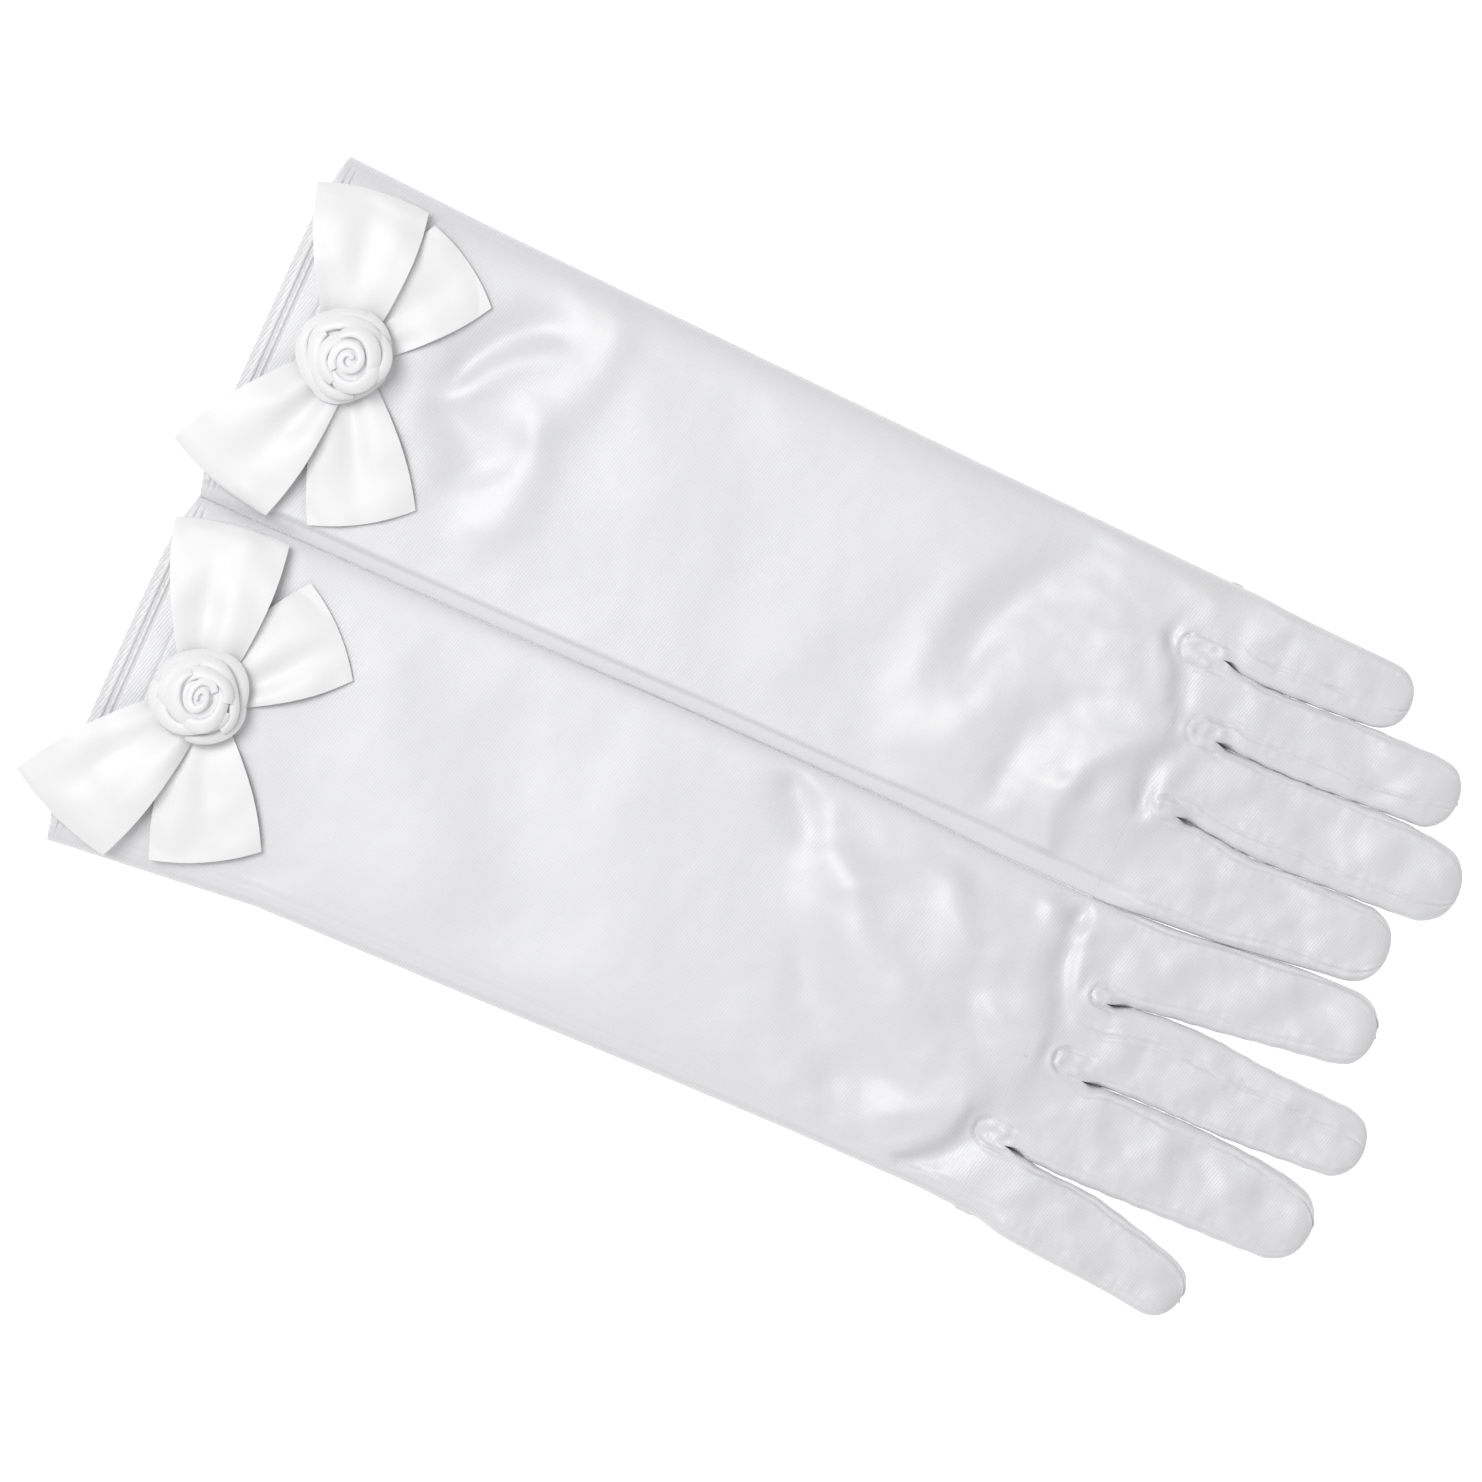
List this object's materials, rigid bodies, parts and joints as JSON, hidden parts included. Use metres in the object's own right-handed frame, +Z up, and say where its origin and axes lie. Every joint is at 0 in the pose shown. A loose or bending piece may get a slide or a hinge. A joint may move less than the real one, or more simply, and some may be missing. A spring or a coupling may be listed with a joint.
{
  "type": "opera gloves",
  "caption": "Pair of elbow-length white stretch-satin gloves laid flat, each with a ribbon bow and rolled rose at the cuff.",
  "frame": {"origin": "centre of the pair's footprint, on the surface that the gloves lie on", "axes": "+X along the gloves from cuffs to fingertips, +Y towards the left glove, +Z up, out of the backs of the hands"},
  "size_m": [0.3463, 0.1868, 0.0231],
  "materials": {
    "satin": "satin",
    "fourchette": "satin",
    "hem": "satin",
    "ribbon": "satin"
  },
  "bodies": {
    "left_sleeve": {"left_sleeve_back": "satin", "left_sleeve_palm": "satin", "left_cuff_hem": "hem", "left_side_seam": "hem", "left_bow_knot": "ribbon", "left_rose_bud": "ribbon", "left_rose_inner_petals": "ribbon", "left_rose_outer_petals": "ribbon"},
    "left_hand": {"left_hand_back": "satin", "left_hand_palm": "satin", "left_crotch_gussets": "fourchette"},
    "left_index": {"left_index_palm": "satin", "left_index_back": "satin", "left_index_fourchettes": "fourchette"},
    "left_middle": {"left_middle_palm": "satin", "left_middle_back": "satin", "left_middle_fourchettes": "fourchette"},
    "left_ring": {"left_ring_palm": "satin", "left_ring_back": "satin", "left_ring_fourchettes": "fourchette"},
    "left_little": {"left_little_palm": "satin", "left_little_back": "satin", "left_little_fourchettes": "fourchette"},
    "left_thumb": {"left_thumb_front": "satin", "left_thumb_back": "satin"},
    "left_loop_outer": {"left_bow_loop_outer": "ribbon"},
    "left_loop_inner": {"left_bow_loop_inner": "ribbon"},
    "left_tail_outer": {"left_bow_tail_outer": "ribbon"},
    "left_tail_inner": {"left_bow_tail_inner": "ribbon"},
    "right_sleeve": {"right_sleeve_back": "satin", "right_sleeve_palm": "satin", "right_cuff_hem": "hem", "right_side_seam": "hem", "right_bow_knot": "ribbon", "right_rose_bud": "ribbon", "right_rose_inner_petals": "ribbon", "right_rose_outer_petals": "ribbon"},
    "right_hand": {"right_hand_back": "satin", "right_hand_palm": "satin", "right_crotch_gussets": "fourchette"},
    "right_index": {"right_index_palm": "satin", "right_index_back": "satin", "right_index_fourchettes": "fourchette"},
    "right_middle": {"right_middle_palm": "satin", "right_middle_back": "satin", "right_middle_fourchettes": "fourchette"},
    "right_ring": {"right_ring_palm": "satin", "right_ring_back": "satin", "right_ring_fourchettes": "fourchette"},
    "right_little": {"right_little_palm": "satin", "right_little_back": "satin", "right_little_fourchettes": "fourchette"},
    "right_thumb": {"right_thumb_front": "satin", "right_thumb_back": "satin"},
    "right_loop_outer": {"right_bow_loop_outer": "ribbon"},
    "right_loop_inner": {"right_bow_loop_inner": "ribbon"},
    "right_tail_outer": {"right_bow_tail_outer": "ribbon"},
    "right_tail_inner": {"right_bow_tail_inner": "ribbon"}
  },
  "joints": [
    {"name": "pair_slide", "type": "slide", "parent": "right_sleeve", "child": "left_sleeve", "axis": [0, 1, 0], "range_m": [0, 0.15]},
    {"name": "left_wrist_hinge", "type": "hinge", "parent": "left_sleeve", "child": "left_hand", "pos_m": [0.0228, 0.04365, 0.0045], "axis": [0, 1, 0], "range_deg": [-60, 60]},
    {"name": "left_index_knuckle", "type": "hinge", "parent": "left_hand", "child": "left_index", "pos_m": [0.0928, 0.0144, 0.0008], "axis": [0, 1, 0], "range_deg": [-20, 90]},
    {"name": "left_middle_knuckle", "type": "hinge", "parent": "left_hand", "child": "left_middle", "pos_m": [0.0928, 0.0364, 0.0008], "axis": [0, 1, 0], "range_deg": [-20, 90]},
    {"name": "left_ring_knuckle", "type": "hinge", "parent": "left_hand", "child": "left_ring", "pos_m": [0.0928, 0.0564, 0.0008], "axis": [0, 1, 0], "range_deg": [-20, 90]},
    {"name": "left_little_knuckle", "type": "hinge", "parent": "left_hand", "child": "left_little", "pos_m": [0.0928, 0.0754, 0.0008], "axis": [0, 1, 0], "range_deg": [-20, 90]},
    {"name": "left_thumb_swing", "type": "hinge", "parent": "left_hand", "child": "left_thumb", "pos_m": [0.0438, 0.0164, 0.0032], "axis": [-0.5446, 0.8387, 0], "range_deg": [0, 80]},
    {"name": "left_loop_outer_lift", "type": "hinge", "parent": "left_sleeve", "child": "left_loop_outer", "pos_m": [-0.142, 0.05844, 0.0135], "axis": [0.9703, 0.2419, 0], "range_deg": [0, 30]},
    {"name": "left_loop_inner_lift", "type": "hinge", "parent": "left_sleeve", "child": "left_loop_inner", "pos_m": [-0.1436, 0.03567, 0.0135], "axis": [-0.9272, 0.3746, 0], "range_deg": [0, 30]},
    {"name": "left_tail_outer_lift", "type": "hinge", "parent": "left_sleeve", "child": "left_tail_outer", "pos_m": [-0.13328, 0.05729, 0.0109], "axis": [0.8746, -0.4848, 0], "range_deg": [0, 30]},
    {"name": "left_tail_inner_lift", "type": "hinge", "parent": "left_sleeve", "child": "left_tail_inner", "pos_m": [-0.13319, 0.03636, 0.0109], "axis": [-0.8704, -0.4924, 0], "range_deg": [0, 30]},
    {"name": "right_wrist_hinge", "type": "hinge", "parent": "right_sleeve", "child": "right_hand", "pos_m": [0.0228, -0.04365, 0.0045], "axis": [0, 1, 0], "range_deg": [-60, 60]},
    {"name": "right_index_knuckle", "type": "hinge", "parent": "right_hand", "child": "right_index", "pos_m": [0.0928, -0.0124, 0.0008], "axis": [-0.0872, 0.9962, 0], "range_deg": [-20, 90]},
    {"name": "right_middle_knuckle", "type": "hinge", "parent": "right_hand", "child": "right_middle", "pos_m": [0.0928, -0.0339, 0.0008], "axis": [-0.0262, 0.9997, 0], "range_deg": [-20, 90]},
    {"name": "right_ring_knuckle", "type": "hinge", "parent": "right_hand", "child": "right_ring", "pos_m": [0.0928, -0.0549, 0.0008], "axis": [0, 1, 0], "range_deg": [-20, 90]},
    {"name": "right_little_knuckle", "type": "hinge", "parent": "right_hand", "child": "right_little", "pos_m": [0.0928, -0.0759, 0.0008], "axis": [0.1305, 0.9914, 0], "range_deg": [-20, 90]},
    {"name": "right_thumb_swing", "type": "hinge", "parent": "right_hand", "child": "right_thumb", "pos_m": [0.0438, -0.0164, 0.0032], "axis": [0.5446, 0.8387, 0], "range_deg": [0, 80]},
    {"name": "right_loop_outer_lift", "type": "hinge", "parent": "right_sleeve", "child": "right_loop_outer", "pos_m": [-0.14265, -0.05609, 0.0135], "axis": [-0.891, 0.454, 0], "range_deg": [0, 30]},
    {"name": "right_loop_inner_lift", "type": "hinge", "parent": "right_sleeve", "child": "right_loop_inner", "pos_m": [-0.14, -0.03373, 0.0135], "axis": [0.9724, 0.2334, 0], "range_deg": [0, 30]},
    {"name": "right_tail_outer_lift", "type": "hinge", "parent": "right_sleeve", "child": "right_tail_outer", "pos_m": [-0.13213, -0.05628, 0.0109], "axis": [-0.9063, -0.4226, 0], "range_deg": [0, 30]},
    {"name": "right_tail_inner_lift", "type": "hinge", "parent": "right_sleeve", "child": "right_tail_inner", "pos_m": [-0.12957, -0.03614, 0.0109], "axis": [0.7716, -0.6361, 0], "range_deg": [0, 30]}
  ]
}
